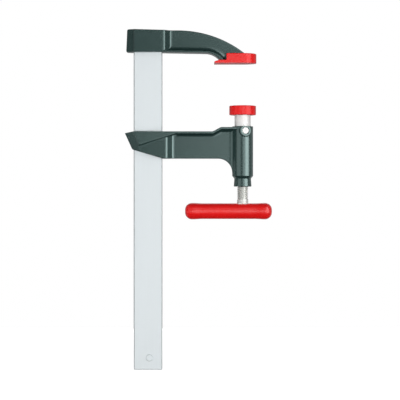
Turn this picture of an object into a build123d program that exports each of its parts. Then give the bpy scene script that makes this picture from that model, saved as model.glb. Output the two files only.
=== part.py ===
from build123d import *
import os
from math import acos, asin, atan, cos, degrees, floor, radians, sin, sqrt, tan

# Bar clamp, in millimetres. The origin is where the spindle axis meets the fixed pad's clamping
# face; +X runs from the rail to the jaws' tips and +Z along the rail towards the fixed arm.

# Fits between pieces
slip = 0.05  # radial room round pins, bushes, plugs and rings in their seats
running = 0.3  # room between pieces that pass each other
slot_room = 0.5  # room between the rail and the walls of the sliding arm's slot
flank_room = 0.12  # room along the axis on each flank of the thread
root_room = 0.15  # radial room at the thread's crests and roots

# Rail
throat = 70.0  # spindle axis to the rail's front edge
rail_width = 25.0
rail_thickness = 6.0
rail_edge_radius = 1.0
rail_reach = 267.0  # clamping face to the rail's free end
rail_seat = 16.5  # length of rail held in the fixed arm's head
rail_end_chamfer = 0.6

# End stop at the rail's free end
stop_radius = 3.0
stop_height = 10.5  # above the rail's end
stop_offset = 1.2  # from the rail's middle towards the jaws
stop_proud = 1.2  # above each face of the rail
stop_round = 0.8

# Fixed arm
head_bottom = 9.65  # above the clamping face
head_height = 20.0
head_half = 9.0  # half the head's thickness
head_rear_wall = 6.5  # metal behind the rail
head_rear_lean = 0.9
head_top_fall = 0.8  # fall of the top from the rear to the web
head_corner_round = 1.4
head_bevel_flat = 3.0  # half width of the rear face between its bevels
head_ledge = 1.7  # step from the side faces down to the rear bevels
head_ledge_run = 1.4
head_ledge_front = 0.8  # the step's upper edge in front of the rail's rear edge
fixed_web_half = 3.2
fixed_ramp_start = 1.9  # in front of the rail
ramp_length = 5.2
ramp_radius = 3.2
crown_start = 13.6  # in front of the rail, where the top starts to fall
arm_tip = 2.6  # beyond the spindle axis
fixed_flange_height = 1.5
bend_start = 37.7  # in front of the rail, where the flange bends down to the pad
bend_fall = 0.7  # fall of the flange before its bend
landing = 19.8  # behind the spindle axis, where the flange meets the pad's base
flange_landing = 3.3  # length of the flange's end along the pad's base
fixed_web_fillet = 4.8
casting_round = 0.8

# Dowels that hold the fixed arm on the rail
dowel_radius = 2.5
dowel_spacing = 12.0
dowel_blind_wall = 3.5  # casting left in front of a dowel's blind end
dowel_sunk = 0.4  # below the back of the head

# Fixed pad
pad_half = 12.0
pad_base = 2.5
pad_height = 8.4
pad_wall = 2.0
pad_wall_reach = 14.2  # behind the spindle axis
pad_lip_reach = 24.8  # behind the spindle axis
pad_lip_edge = 1.1
pad_lip_slope = 4.2
pad_round = 0.7
foot_sunk = 0.2  # the foot's top below the pad's rim

# Moving jaw, stacked down the spindle axis from the jaws' opening
jaw_opening = 36.8
cap_radius = 11.65
cap_height = 8.2
cap_top_wall = 2.2
cap_lip_height = 1.2
cap_lip = 0.5  # reach of the lip under the pressure plate
cap_round = 0.7
plate_radius = 9.75
tube_exposed = 9.8
housing_length = 45.5
neck_length = 7.0
thread_exposed = 10.8
collar_length = 3.7

# Swivel of the moving jaw
ball_radius = 2.4
ball_neck_radius = 1.6
ball_top_wall = 0.2  # from the ball's socket to the plate's top
socket_vent_radius = 1.0
tilt_limit = 4.0  # degrees, about X and about Y
ring_wire_radius = 0.3
ring_drop = 1.2  # below the ball's centre
ring_opening = 40.0  # degrees
tube_in_cap = 0.2  # the tube's top above the cap's rim

# Push tube and what it holds
tube_radius = 7.0
tube_bore_radius = 5.3
tube_edge = 0.4
tube_end_room = 0.6  # above the spindle nut's flange
stud_length = 7.6
thrust_ball_radius = 2.5
thrust_ball_gap = 2.8  # between the spindle's tip and the stud
bush_length = 6.0
bush_drop = 6.6  # below the spindle's tip

# Spindle
thread_radius = 4.85
thread_depth = 0.9
thread_pitch = 1.75
thread_root_flat = 0.3
thread_flank = 30.0  # degrees
thread_overrun = 3.0  # thread above the spindle nut
shank_radius = 3.8
journal_radius = 3.0
clip_groove_depth = 0.5
clip_thickness = 0.8
clip_radius = 4.5
clip_opening = 4.0
tang_length = 11.0
tang_half = 3.0  # half the distance across the tang's flats

# Spindle nut
nut_radius = 5.85
nut_flange_thickness = 3.0

# Guide pin
pin_radius = 2.9
pin_dog_radius = 2.0
pin_drop = 3.9  # below the housing's top
pin_azimuth = 14.0  # degrees from -Y towards +X
pin_dog_reach = 5.6  # spindle axis to the dog's end
pin_proud = 0.15
pin_round = 0.4

# Sliding arm
housing_radius = 9.1
housing_chamfer = 2.2
housing_step = 1.85  # housing radius less neck radius
boss_radius = 5.2
boss_proud = 0.7  # beyond the housing's radius
boss_edge = 0.5
neck_flare = 0.5  # neck radius gained at its lower end
arm_drop = 4.55  # the arm's top below the housing's top
arm_depth = 23.6
slider_half = 8.3
slider_draft = 0.5  # thickness that each side loses from the ramp to the nose
slider_cheek_half = 9.6  # at the nose
slider_flange_half = 9.1  # where the cheek becomes the flange
slider_flange_end_half = 7.8  # at the spindle axis
slider_flange_height = 2.0
slider_web_half = 2.8
slider_ramp_start = 3.9  # in front of the rail
heel_front = 0.6  # in front of the rail, where the sloped lower edge ends
heel_rise = 7.9
nose_wall = 7.7  # metal behind the rail at the arm's top
nose_fall = 1.4
nose_lean = 24.4  # degrees
nose_flat_half = 3.4
nose_bevel = 7.4
nose_ledge = 1.4  # step from the cheeks down to the nose's bevels
nose_ledge_run = 0.8
heel_round = 2.4
cheek_foot = 14.8  # the proud cheek's lower corner below the arm's top
cheek_front = 12.9  # in front of the rail, where the cheek becomes the flange
step_start = 26.0  # behind the spindle axis, where the flange steps up
step_run = 7.0
step_rise = 3.8
step_round = 3.8
gusset_radius = 12.2
housing_fillet = 4.5
slider_web_fillet = 3.5
cheek_bevel = 1.1

# Grip pins in the sliding arm's slot
grip_radius = 2.0
rear_grip_drop = 4.6  # below the arm's top
front_grip_rise = 3.4  # above the arm's bottom
rear_grip_half = 4.6
front_grip_half = 6.0
front_grip_back = 8.0

# Handle
handle_radius = 7.2
handle_waist_radius = 6.85
handle_long_end = 50.2  # spindle axis to the handle's far end, towards the rail
handle_short_end = 25.5
handle_end_round = 6.0
handle_bulb = 15.0  # length of each thicker end
handle_pin_radius = 1.5
handle_pin_sunk = 0.5
handle_pin_front = 4.0

# Places along the rail and the arms
rail_front = -throat
rail_rear = rail_front - rail_width
rail_middle = (rail_front + rail_rear) / 2
rail_end = -rail_reach
rail_top = head_bottom + rail_seat
stop_x = rail_middle + stop_offset
stop_z = rail_end + stop_height
head_top = head_bottom + head_height
head_rear = rail_rear - head_rear_wall
web_top = head_top - head_top_fall
foot_half = pad_half - pad_wall - slip
foot_top = pad_height - foot_sunk

# Places down the spindle axis
cap_top = -jaw_opening
cap_bottom = cap_top - cap_height
plate_top = cap_top - cap_top_wall - slip
plate_bottom = cap_bottom + cap_lip_height + slip
ball_center = plate_top - ball_top_wall - ball_radius - slip
tube_top = cap_bottom + tube_in_cap
stud_bottom = tube_top - stud_length
thrust_center = stud_bottom - thrust_ball_gap / 2
spindle_tip = stud_bottom - thrust_ball_gap
bush_top = spindle_tip - bush_drop
bush_bottom = bush_top - bush_length
housing_top = cap_bottom - tube_exposed
housing_bottom = housing_top - housing_length
neck_bottom = housing_bottom - neck_length
neck_radius = housing_radius - housing_step
nut_seat = housing_bottom + housing_chamfer + running
nut_top = nut_seat + nut_flange_thickness
tube_bottom = nut_top + tube_end_room
thread_top = nut_top + thread_overrun
collar_top = neck_bottom - thread_exposed
collar_bottom = collar_top - collar_length
handle_center = collar_bottom - slip - handle_waist_radius
tang_bottom = collar_bottom - tang_length

# Places on the sliding arm
slider_top = housing_top - arm_drop
slider_bottom = slider_top - arm_depth
nose_top = slider_top - nose_fall
nose_rear = rail_rear - nose_wall
nose_slope = tan(radians(nose_lean))
step_top = slider_top + step_rise
cheek_corner = slider_top - cheek_foot
pin_z = housing_top - pin_drop
pin_direction = (sin(radians(pin_azimuth)), -cos(radians(pin_azimuth)), 0)
boss_face = housing_radius + boss_proud

# Travel of the joints
feed_travel = thread_exposed - running
tilt_rise = cap_radius * sin(radians(tilt_limit * sqrt(2)))
slide_up = jaw_opening - feed_travel - tilt_rise - running


def nose_x(z):
    """Rear edge of the sliding arm at a height."""
    return nose_rear + nose_slope * (nose_top - z)


nose_half_far = 2 * slider_cheek_half
heel_z = slider_bottom + heel_rise
heel_slope = heel_rise / (rail_front + heel_front - nose_x(heel_z))
stop_meets = heel_z - heel_slope * (stop_x - nose_x(heel_z))
slide_down = stop_meets - stop_z - stop_radius * sqrt(1 + heel_slope**2) - running


# Places of the grip pins, the guide slot and the swivel
rear_grip_x = rail_rear - running - grip_radius
rear_grip_z = slider_top - rear_grip_drop
front_grip_x = rail_front + running + grip_radius
front_grip_z = slider_bottom + front_grip_rise
pin_plane = Plane(origin=(0, 0, pin_z), x_dir=(0, 0, 1), z_dir=pin_direction)
pin_axis = Axis(origin=(0, 0, pin_z), direction=pin_direction)
pin_shoulder = tube_radius + running
slot_half = pin_dog_radius + 2 * slip
slot_travel = feed_travel + running
slot_plane = Plane(origin=(0, 0, pin_z - slot_travel / 2), x_dir=(0, 0, 1), z_dir=pin_direction)
socket_radius = ball_radius + slip
socket_vent_rise = sqrt(socket_radius**2 - socket_vent_radius**2)
socket_vent_angle = degrees(acos(socket_vent_radius / socket_radius))
ball_neck_drop = sqrt(ball_radius**2 - ball_neck_radius**2)
ball_neck_angle = degrees(acos(ball_neck_radius / ball_radius))
ring_z = ball_center - ring_drop
ring_radius = sqrt((ball_radius + ring_wire_radius + 2 * slip) ** 2 - ring_drop**2)
ring_sway = sin(radians(tilt_limit))
ring_groove_half = ring_wire_radius + (ring_radius + ring_wire_radius) * ring_sway + slip
ring_groove_radius = ring_radius + ring_wire_radius + ring_drop * ring_sway + slip
thrust_seat_radius = thrust_ball_radius + slip
thrust_seat_edge = sqrt(thrust_seat_radius**2 - (thrust_ball_gap / 2) ** 2)
thrust_seat_angle = degrees(asin(thrust_ball_gap / 2 / thrust_seat_radius))

# Thread: the spindle's groove, and the nut's groove that clears the spindle's ridge
flank_slope = tan(radians(thread_flank))
groove_mouth = thread_root_flat + 2 * (thread_depth + slip) * flank_slope
nut_bore_radius = thread_radius - thread_depth + root_room
nut_groove_mouth = thread_pitch - thread_root_flat - 2 * (root_room - slip) * flank_slope + 2 * flank_room
nut_groove_flat = nut_groove_mouth - 2 * (thread_depth + slip) * flank_slope
nut_groove_turns = floor(thread_exposed / thread_pitch) - 1
groove_start = collar_top - thread_pitch / 2  # the groove runs out in the collar
nut_groove_start = groove_start + (nut_groove_turns + 0.5) * thread_pitch
thread_blank = 3 * thread_pitch  # cut past each end of a thread before it is trimmed
clip_bottom = bush_top + running
clip_top = clip_bottom + clip_thickness
clip_groove_radius = journal_radius - clip_groove_depth


# Rail
with BuildPart() as rail:
    with BuildSketch(Plane.XY.offset(rail_end)):
        with Locations((rail_middle, 0)):
            Rectangle(rail_width, rail_thickness)
    extrude(amount=rail_top - rail_end)
    fillet(rail.edges().filter_by(Axis.Z), rail_edge_radius)
    chamfer(rail.faces().sort_by(Axis.Z)[0].edges(), rail_end_chamfer)
    with BuildSketch(Plane.XZ):
        with Locations((stop_x, stop_z)):
            Circle(stop_radius + slip)
        with Locations((rail_middle, head_bottom + rail_seat / 2)):
            with GridLocations(dowel_spacing, 0, 2, 1):
                Circle(dowel_radius + slip)
    extrude(amount=rail_thickness, both=True, mode=Mode.SUBTRACT)

# End stop pin
with BuildPart() as end_stop_pin:
    with BuildSketch(Plane.XZ):
        with Locations((stop_x, stop_z)):
            Circle(stop_radius)
    extrude(amount=rail_thickness / 2 + stop_proud, both=True)
    fillet(end_stop_pin.edges().filter_by(GeomType.CIRCLE), stop_round)

# Bend of the fixed arm's flange
bend_x = rail_front + bend_start
bend_z = head_bottom - bend_fall
bend_tangent = (bend_start, -bend_fall)
fixed_ramp = rail_front + fixed_ramp_start

# Fillets along the foot of the fixed arm's web
with BuildPart() as web_feet:
    with BuildLine(Plane.XZ) as flange_path:
        Line((rail_front, head_bottom + fixed_flange_height), (bend_x, bend_z + fixed_flange_height))
        TangentArc(
            (bend_x, bend_z + fixed_flange_height), (flange_landing - landing, pad_base), tangent=bend_tangent
        )
    with BuildSketch(Plane(origin=flange_path.line @ 0, x_dir=(0, 1, 0), z_dir=flange_path.line % 0)):
        with BuildLine():
            Polyline(
                (0, fixed_web_fillet),
                (0, -slip),
                (fixed_web_half + fixed_web_fillet, -slip),
                (fixed_web_half + fixed_web_fillet, 0),
            )
            CenterArc((fixed_web_half + fixed_web_fillet, fixed_web_fillet), fixed_web_fillet, -90, -90)
            Line((fixed_web_half, fixed_web_fillet), (0, fixed_web_fillet))
        make_face()
        mirror(about=Plane.YZ)
    sweep(path=flange_path.line)

# Fixed arm: head, web and flange, with a foot for the pad
head_step = rail_rear + head_ledge_front
with BuildPart() as fixed_arm:
    with BuildSketch(Plane.XZ) as head_outline:
        with BuildLine():
            Polyline(
                (bend_x, bend_z),
                (rail_front, head_bottom),
                (head_rear, head_bottom),
                (head_rear + head_rear_lean, head_top),
                (rail_front, web_top),
                (rail_front + crown_start, web_top),
            )
            TangentArc((rail_front + crown_start, web_top), (arm_tip, foot_top), tangent=(1, 0))
            Polyline((arm_tip, foot_top), (arm_tip, pad_base), (-landing, pad_base))
            TangentArc((bend_x, bend_z), (-landing, pad_base), tangent=bend_tangent)
        make_face()
        fillet(head_outline.vertices().group_by(Axis.X)[0], head_corner_round)
        fillet(head_outline.vertices().sort_by(Axis.Y)[-1], head_corner_round)
    extrude(amount=head_half, both=True)
    with BuildSketch(Plane.XY):
        with BuildLine():
            Polyline(
                (arm_tip, fixed_web_half),
                (fixed_ramp + ramp_length, fixed_web_half),
                (fixed_ramp, head_half),
                (rail_rear, head_half),
                (head_rear, head_bevel_flat + head_ledge),
                (head_rear, 0),
            )
            mirror(about=Plane.XZ)
            Line((arm_tip, fixed_web_half), (arm_tip, -fixed_web_half))
        make_face()
    extrude(amount=head_top, mode=Mode.INTERSECT)
    ramp_edges = fixed_arm.edges().filter_by(Axis.Z).filter_by_position(
        Axis.X, fixed_ramp - running, fixed_ramp + ramp_length + running
    )
    fillet(ramp_edges, ramp_radius)
    with BuildSketch(Plane.XZ):
        with BuildLine():
            low_arc = TangentArc((bend_x, bend_z), (-landing, pad_base), tangent=bend_tangent)
            Polyline((bend_x, bend_z), (rail_front, head_bottom))
            Line((rail_front, head_bottom), (rail_front, head_bottom + fixed_flange_height))
            Line((rail_front, head_bottom + fixed_flange_height), (bend_x, bend_z + fixed_flange_height))
            high_arc = TangentArc(
                (bend_x, bend_z + fixed_flange_height),
                (flange_landing - landing, pad_base),
                tangent=bend_tangent,
            )
            Line(low_arc @ 1, high_arc @ 1)
        make_face()
    extrude(amount=head_half, both=True)
    add(web_feet.part)
    split(bisect_by=Plane.XY.offset(pad_base), keep=Keep.TOP)
    crown_edges = fixed_arm.edges().filter_by(
        lambda edge: abs(edge.center().Y) > head_bevel_flat - slip
        and edge.center().Z > web_top - casting_round
    )
    fillet(crown_edges, casting_round)
    with BuildSketch(Plane.XY.offset(pad_base)):
        with BuildLine():
            Polyline(
                (head_step, head_half),
                (head_step - head_ledge_run, head_half - head_ledge),
                (head_rear, head_bevel_flat),
                (head_rear, head_half + slip),
                (head_step, head_half + slip),
                close=True,
            )
        make_face()
        mirror(about=Plane.XZ)
    extrude(amount=head_top, mode=Mode.SUBTRACT)
    with BuildSketch(Plane.XY.offset(pad_base)):
        with Locations((-pad_wall_reach, 0)):
            Rectangle(pad_wall_reach, 2 * foot_half, align=(Align.MIN, Align.CENTER))
        Circle(foot_half)
    extrude(amount=foot_top - pad_base)
    with BuildSketch(Plane.XY.offset(head_bottom)):
        with Locations((rail_middle, 0)):
            RectangleRounded(rail_width + 2 * slip, rail_thickness + 2 * slip, rail_edge_radius)
    extrude(amount=rail_seat + slip, mode=Mode.SUBTRACT)
    with BuildSketch(Plane.XZ.offset(-head_half)):
        with Locations((rail_middle, head_bottom + rail_seat / 2)):
            with GridLocations(dowel_spacing, 0, 2, 1):
                Circle(dowel_radius + slip)
    extrude(amount=2 * head_half - dowel_blind_wall, mode=Mode.SUBTRACT)

# Dowels
with BuildPart() as fixed_arm_pins:
    with BuildSketch(Plane.XZ.offset(dowel_sunk - head_half)):
        with Locations((rail_middle, head_bottom + rail_seat / 2)):
            with GridLocations(dowel_spacing, 0, 2, 1):
                Circle(dowel_radius)
    extrude(amount=2 * head_half - dowel_blind_wall - dowel_sunk - slip)

# Fixed pad
with BuildPart() as fixed_pad:
    with BuildSketch(Plane.XY):
        with Locations((-pad_lip_reach, 0)):
            Rectangle(pad_lip_reach, 2 * pad_half, align=(Align.MIN, Align.CENTER))
        Circle(pad_half)
    extrude(amount=pad_height)
    with BuildSketch(Plane.XZ):
        with BuildLine():
            Polyline(
                (-pad_lip_reach, 0),
                (-pad_lip_reach, pad_lip_edge),
                (pad_lip_slope - pad_lip_reach, pad_base),
                (-pad_wall_reach, pad_base),
                (-pad_wall_reach, pad_height),
                (pad_half, pad_height),
                (pad_half, 0),
                close=True,
            )
        make_face()
    extrude(amount=pad_half, both=True, mode=Mode.INTERSECT)
    with BuildSketch(Plane.XY.offset(pad_base)):
        with Locations((-pad_wall_reach, 0)):
            Rectangle(pad_wall_reach, 2 * (foot_half + slip), align=(Align.MIN, Align.CENTER))
        Circle(foot_half + slip)
    extrude(amount=pad_height, mode=Mode.SUBTRACT)
    rim = fixed_pad.faces().sort_by(Axis.Z)[-1].outer_wire().edges().filter_by(
        lambda edge: max(abs((edge @ 0).Y), abs((edge @ 1).Y)) > pad_half - slip
        and edge.length > pad_wall + running
    )
    fillet(rim, pad_round)

# Top flange of the sliding arm, which widens over the rail into the proud upper cheeks
flange_line = (
    (rail_front + cheek_front, slider_top),
    (-step_start, slider_top),
    (step_run - step_start, step_top),
    (0, step_top),
)
under_line = [(x, z - slider_flange_height) for x, z in flange_line]
cheek_plane = Plane(
    origin=(under_line[0][0], 0, under_line[0][1]),
    x_dir=(0, 1, 0),
    z_dir=(nose_x(cheek_corner) - under_line[0][0], 0, cheek_corner - under_line[0][1]),
)
with BuildPart() as slider_flange:
    with BuildSketch(Plane.XZ):
        with BuildLine():
            FilletPolyline(*flange_line, radius=step_round)
            FilletPolyline(*under_line, radius=step_round)
            Line(flange_line[-1], under_line[-1])
            Polyline(
                under_line[0],
                (nose_x(cheek_corner), cheek_corner),
                (nose_rear, nose_top),
                (rail_rear, slider_top),
                flange_line[0],
            )
        make_face()
    extrude(amount=slider_cheek_half, both=True)
    with BuildSketch(Plane.XY.offset(slider_bottom)):
        with BuildLine():
            Polyline(
                (0, -slider_flange_end_half),
                (0, slider_flange_end_half),
                (rail_front + cheek_front, slider_flange_half),
                (nose_rear, slider_cheek_half),
                (nose_rear, -slider_cheek_half),
                (rail_front + cheek_front, -slider_flange_half),
                close=True,
            )
        make_face()
    extrude(amount=step_top - slider_bottom, mode=Mode.INTERSECT)
    with BuildSketch(cheek_plane):
        with BuildLine():
            Polyline(
                (slider_half, 0),
                (slider_cheek_half, -cheek_bevel),
                (slider_cheek_half + slip, -cheek_bevel),
                (slider_cheek_half + slip, slip),
                (slider_half, slip),
                close=True,
            )
        make_face()
        mirror(about=Plane.YZ)
    extrude(amount=throat, mode=Mode.SUBTRACT)

# Fillets under the sliding arm's flange
with BuildPart() as flange_roots:
    with BuildLine(Plane.XZ) as under_path:
        FilletPolyline(*under_line, radius=step_round)
    with BuildSketch(Plane(origin=under_path.line @ 0, x_dir=(0, 1, 0), z_dir=under_path.line % 0)):
        with BuildLine():
            Polyline(
                (0, -slider_web_fillet),
                (0, slip),
                (slider_web_half + slider_web_fillet, slip),
                (slider_web_half + slider_web_fillet, 0),
            )
            CenterArc((slider_web_half + slider_web_fillet, -slider_web_fillet), slider_web_fillet, 90, 90)
            Line((slider_web_half, -slider_web_fillet), (0, -slider_web_fillet))
        make_face()
        mirror(about=Plane.YZ)
    sweep(path=under_path.line)

# Sliding arm: slotted head, web and gusset, flange, spindle housing with its neck and pin boss
slider_ramp = rail_front + slider_ramp_start
gusset_bottom = slider_bottom - gusset_radius
corner_y = slider_web_half + housing_fillet
corner_x = -sqrt((housing_radius + housing_fillet) ** 2 - corner_y**2)
corner_angle = degrees(asin(corner_y / (housing_radius + housing_fillet)))
with BuildPart() as sliding_arm:
    with BuildSketch(Plane.XZ) as slider_outline:
        with BuildLine():
            Polyline(
                (-housing_radius - gusset_radius, slider_bottom),
                (rail_front + heel_front, slider_bottom),
                (nose_x(heel_z), heel_z),
                (nose_rear, nose_top),
                (rail_rear, slider_top),
                flange_line[0],
            )
            FilletPolyline(*flange_line, radius=step_round)
            Polyline(flange_line[-1], (0, gusset_bottom), (-housing_radius, gusset_bottom))
            TangentArc(
                (-housing_radius - gusset_radius, slider_bottom),
                (-housing_radius, gusset_bottom),
                tangent=(1, 0),
            )
        make_face()
        fillet(slider_outline.vertices().sort_by_distance((nose_x(heel_z), heel_z, 0))[0], heel_round)
    extrude(amount=slider_half, both=True)
    with BuildSketch(Plane.XY.offset(gusset_bottom)):
        with BuildLine():
            web_corner = CenterArc((corner_x, corner_y), housing_fillet, -90, 90 - corner_angle)
            Polyline(web_corner @ 1, (0, (web_corner @ 1).Y), (0, 0))
            Polyline(
                web_corner @ 0,
                (slider_ramp + ramp_length, slider_web_half),
                (slider_ramp, slider_half),
                (nose_rear, slider_half - slider_draft),
                (nose_rear, 0),
            )
            mirror(about=Plane.XZ)
        make_face()
    extrude(amount=step_top - gusset_bottom, mode=Mode.INTERSECT)
    ramp_edges = sliding_arm.edges().filter_by(Axis.Z).filter_by_position(
        Axis.X, slider_ramp - running, slider_ramp + ramp_length + running
    )
    fillet(ramp_edges, ramp_radius)
    add(slider_flange.part)
    add(flange_roots.part)
    with BuildSketch(Plane.XY.offset(housing_bottom)):
        Circle(housing_radius)
    extrude(amount=housing_length)
    chamfer(
        sliding_arm.faces().sort_by(Axis.Z)[0].edges(), housing_chamfer, housing_step
    )
    with BuildSketch(Plane.XY.offset(neck_bottom)):
        Circle(neck_radius + neck_flare)
    extrude(amount=neck_length, taper=degrees(atan(neck_flare / neck_length)))
    with BuildSketch(pin_plane):
        Circle(boss_radius)
    extrude(amount=boss_face)
    chamfer(sliding_arm.faces().sort_by(pin_axis)[-1].edges(), boss_edge)
    split(bisect_by=Plane.XY.offset(housing_top), keep=Keep.BOTTOM)
    with BuildSketch(Plane.XY.offset(housing_top)):
        with BuildLine():
            Polyline(
                (boss_face, nose_half_far),
                (nose_x(housing_top) + nose_bevel + 2 * nose_ledge_run, nose_half_far),
                (nose_x(housing_top) + nose_bevel + 2 * nose_ledge_run, slider_cheek_half + nose_ledge),
                (nose_x(housing_top) + nose_bevel, slider_cheek_half - nose_ledge),
                (nose_x(housing_top), nose_flat_half),
                (nose_x(housing_top), 0),
            )
            mirror(about=Plane.XZ)
            Line((boss_face, nose_half_far), (boss_face, -nose_half_far))
        make_face()
    extrude(
        amount=(housing_top - neck_bottom) / cos(radians(nose_lean)),
        dir=(nose_slope, 0, -1),
        mode=Mode.INTERSECT,
    )
    with BuildSketch(Plane.XY.offset(slider_bottom)):
        with Locations((rail_middle, 0)):
            Rectangle(rail_width + 2 * slot_room, rail_thickness + 2 * slot_room)
    extrude(amount=arm_depth, mode=Mode.SUBTRACT)
    with BuildSketch(Plane.XY.offset(nut_seat)):
        Circle(tube_radius + slip)
    extrude(amount=housing_top - nut_seat, mode=Mode.SUBTRACT)
    with BuildSketch(Plane.XY.offset(neck_bottom)):
        Circle(nut_radius + slip)
    extrude(amount=nut_seat - neck_bottom, mode=Mode.SUBTRACT)
    with BuildSketch(pin_plane):
        Circle(pin_radius + slip)
    extrude(amount=boss_face, mode=Mode.SUBTRACT)
    with BuildSketch(Plane.XZ.offset(-slider_half)):
        with Locations((rear_grip_x, rear_grip_z)):
            Circle(grip_radius + slip)
    extrude(amount=slider_half + rear_grip_half + slip, mode=Mode.SUBTRACT)
    with BuildSketch(Plane.XZ.offset(-slider_half)):
        with Locations((front_grip_x, front_grip_z)):
            Circle(grip_radius + slip)
    extrude(amount=slider_half + front_grip_half + slip, mode=Mode.SUBTRACT)

# Grip pins
with BuildPart() as rear_grip_pin:
    with BuildSketch(Plane.XZ):
        with Locations((rear_grip_x, rear_grip_z)):
            Circle(grip_radius)
    extrude(amount=rear_grip_half, both=True)
with BuildPart() as front_grip_pin:
    with BuildSketch(Plane.XZ.offset(-front_grip_back)):
        with Locations((front_grip_x, front_grip_z)):
            Circle(grip_radius)
    extrude(amount=front_grip_back + front_grip_half)

# Guide pin: a round body in the boss and a dog in the tube's slot
with BuildPart() as guide_pin:
    with BuildSketch(pin_plane.offset(pin_dog_reach)):
        Circle(pin_dog_radius)
    extrude(amount=pin_shoulder - pin_dog_reach)
    with BuildSketch(pin_plane.offset(pin_shoulder)):
        Circle(pin_radius)
    extrude(amount=boss_face + pin_proud - pin_shoulder)
    fillet(guide_pin.faces().sort_by(pin_axis)[-1].edges(), pin_round)

# Groove of the nut's thread
with BuildPart() as nut_groove:
    with BuildLine() as nut_path:
        Helix(
            thread_pitch,
            nut_top + thread_blank / 2 - nut_groove_start,
            thread_radius,
            (0, 0, nut_groove_start),
        )
    with BuildSketch(Plane(origin=nut_path.line @ 0, x_dir=(1, 0, 0), z_dir=nut_path.line % 0)):
        with BuildLine():
            Polyline(
                (nut_bore_radius - slip - thread_radius, -nut_groove_mouth / 2),
                (root_room, -nut_groove_flat / 2),
                (root_room, nut_groove_flat / 2),
                (nut_bore_radius - slip - thread_radius, nut_groove_mouth / 2),
                close=True,
            )
        make_face()
    sweep(path=nut_path.line, is_frenet=True)

# Spindle nut, threaded to mesh with the spindle
with BuildPart() as spindle_nut:
    with BuildSketch(Plane.XY.offset(neck_bottom - thread_blank)):
        Circle(nut_radius)
        Circle(nut_bore_radius, mode=Mode.SUBTRACT)
    extrude(amount=nut_top - neck_bottom + 2 * thread_blank)
    add(nut_groove.part, mode=Mode.SUBTRACT)
    split(bisect_by=Plane.XY.offset(nut_top), keep=Keep.BOTTOM)
    split(bisect_by=Plane.XY.offset(neck_bottom), keep=Keep.TOP)
    with BuildSketch(Plane.XY.offset(nut_seat)):
        Circle(tube_radius)
        Circle((nut_radius + thread_radius + root_room) / 2, mode=Mode.SUBTRACT)
    extrude(amount=nut_flange_thickness)

# Push tube with the guide slot
with BuildPart() as push_tube:
    with BuildSketch(Plane.XY.offset(tube_bottom)):
        Circle(tube_radius)
        Circle(tube_bore_radius, mode=Mode.SUBTRACT)
    extrude(amount=tube_top - tube_bottom)
    chamfer(push_tube.edges().filter_by(GeomType.CIRCLE).sort_by(SortBy.RADIUS)[-2:], tube_edge)
    with BuildSketch(slot_plane):
        SlotCenterToCenter(slot_travel, 2 * slot_half)
    extrude(amount=tube_radius + slip, mode=Mode.SUBTRACT)

# Journal bush
with BuildPart() as journal_bush:
    with BuildSketch(Plane.XY.offset(bush_bottom)):
        Circle(tube_bore_radius - slip)
        Circle(journal_radius + slip, mode=Mode.SUBTRACT)
    extrude(amount=bush_length)

# Ball stud: a plug in the tube's top, seated on the thrust ball, with the swivel ball above
with BuildPart() as ball_stud:
    with BuildSketch(Plane.XZ):
        with BuildLine():
            CenterArc((0, thrust_center), thrust_seat_radius, 90, thrust_seat_angle - 90)
            Polyline(
                (thrust_seat_edge, stud_bottom),
                (tube_bore_radius - slip, stud_bottom),
                (tube_bore_radius - slip, tube_top),
                (ball_neck_radius, tube_top),
                (ball_neck_radius, ball_center - ball_neck_drop),
            )
            CenterArc((0, ball_center), ball_radius, -ball_neck_angle, 90 + ball_neck_angle)
            Line((0, ball_center + ball_radius), (0, thrust_center + thrust_seat_radius))
        make_face()
    revolve(axis=Axis.Z)

# Thrust ball
with BuildPart() as thrust_ball:
    with Locations((0, 0, thrust_center)):
        Sphere(thrust_ball_radius)

# Groove of the spindle's thread
with BuildPart() as spindle_groove:
    with BuildLine() as groove_path:
        Helix(thread_pitch, thread_top + thread_blank / 2 - groove_start, thread_radius, (0, 0, groove_start))
    with BuildSketch(Plane(origin=groove_path.line @ 0, x_dir=(1, 0, 0), z_dir=groove_path.line % 0)):
        with BuildLine():
            Polyline(
                (-thread_depth, -thread_root_flat / 2),
                (slip, -groove_mouth / 2),
                (slip, groove_mouth / 2),
                (-thread_depth, thread_root_flat / 2),
                close=True,
            )
        make_face()
    sweep(path=groove_path.line, is_frenet=True)

# Spindle: seat for the thrust ball, journal, relieved shank, cut thread, collar and flattened tang
with BuildPart() as spindle:
    with BuildSketch(Plane.XY.offset(tang_bottom)):
        Circle(thread_radius)
    extrude(amount=thread_top - tang_bottom + thread_blank)
    with BuildSketch(Plane.XY.offset(tang_bottom)):
        Rectangle(4 * thread_radius, 4 * thread_radius)
        Rectangle(4 * thread_radius, 2 * tang_half, mode=Mode.SUBTRACT)
    extrude(amount=tang_length, mode=Mode.SUBTRACT)
    with BuildSketch(Plane.XZ):
        with Locations((0, handle_center)):
            Circle(handle_pin_radius + slip)
    extrude(amount=thread_radius, both=True, mode=Mode.SUBTRACT)
    add(spindle_groove.part, mode=Mode.SUBTRACT)
    split(bisect_by=Plane.XY.offset(thread_top), keep=Keep.BOTTOM)
    with BuildSketch(Plane.XZ):
        with BuildLine():
            CenterArc((0, thrust_center), thrust_seat_radius, -90, 90 - thrust_seat_angle)
            Polyline(
                (thrust_seat_edge, spindle_tip),
                (journal_radius, spindle_tip),
                (journal_radius, clip_top + slip),
                (clip_groove_radius, clip_top + slip),
                (clip_groove_radius, clip_bottom - slip),
                (journal_radius, clip_bottom - slip),
                (journal_radius, bush_bottom - running),
                (shank_radius, bush_bottom - running),
                (shank_radius, thread_top - thread_pitch),
                (0, thread_top - thread_pitch),
                (0, thrust_center - thrust_seat_radius),
            )
        make_face()
    revolve(axis=Axis.Z)

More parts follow.
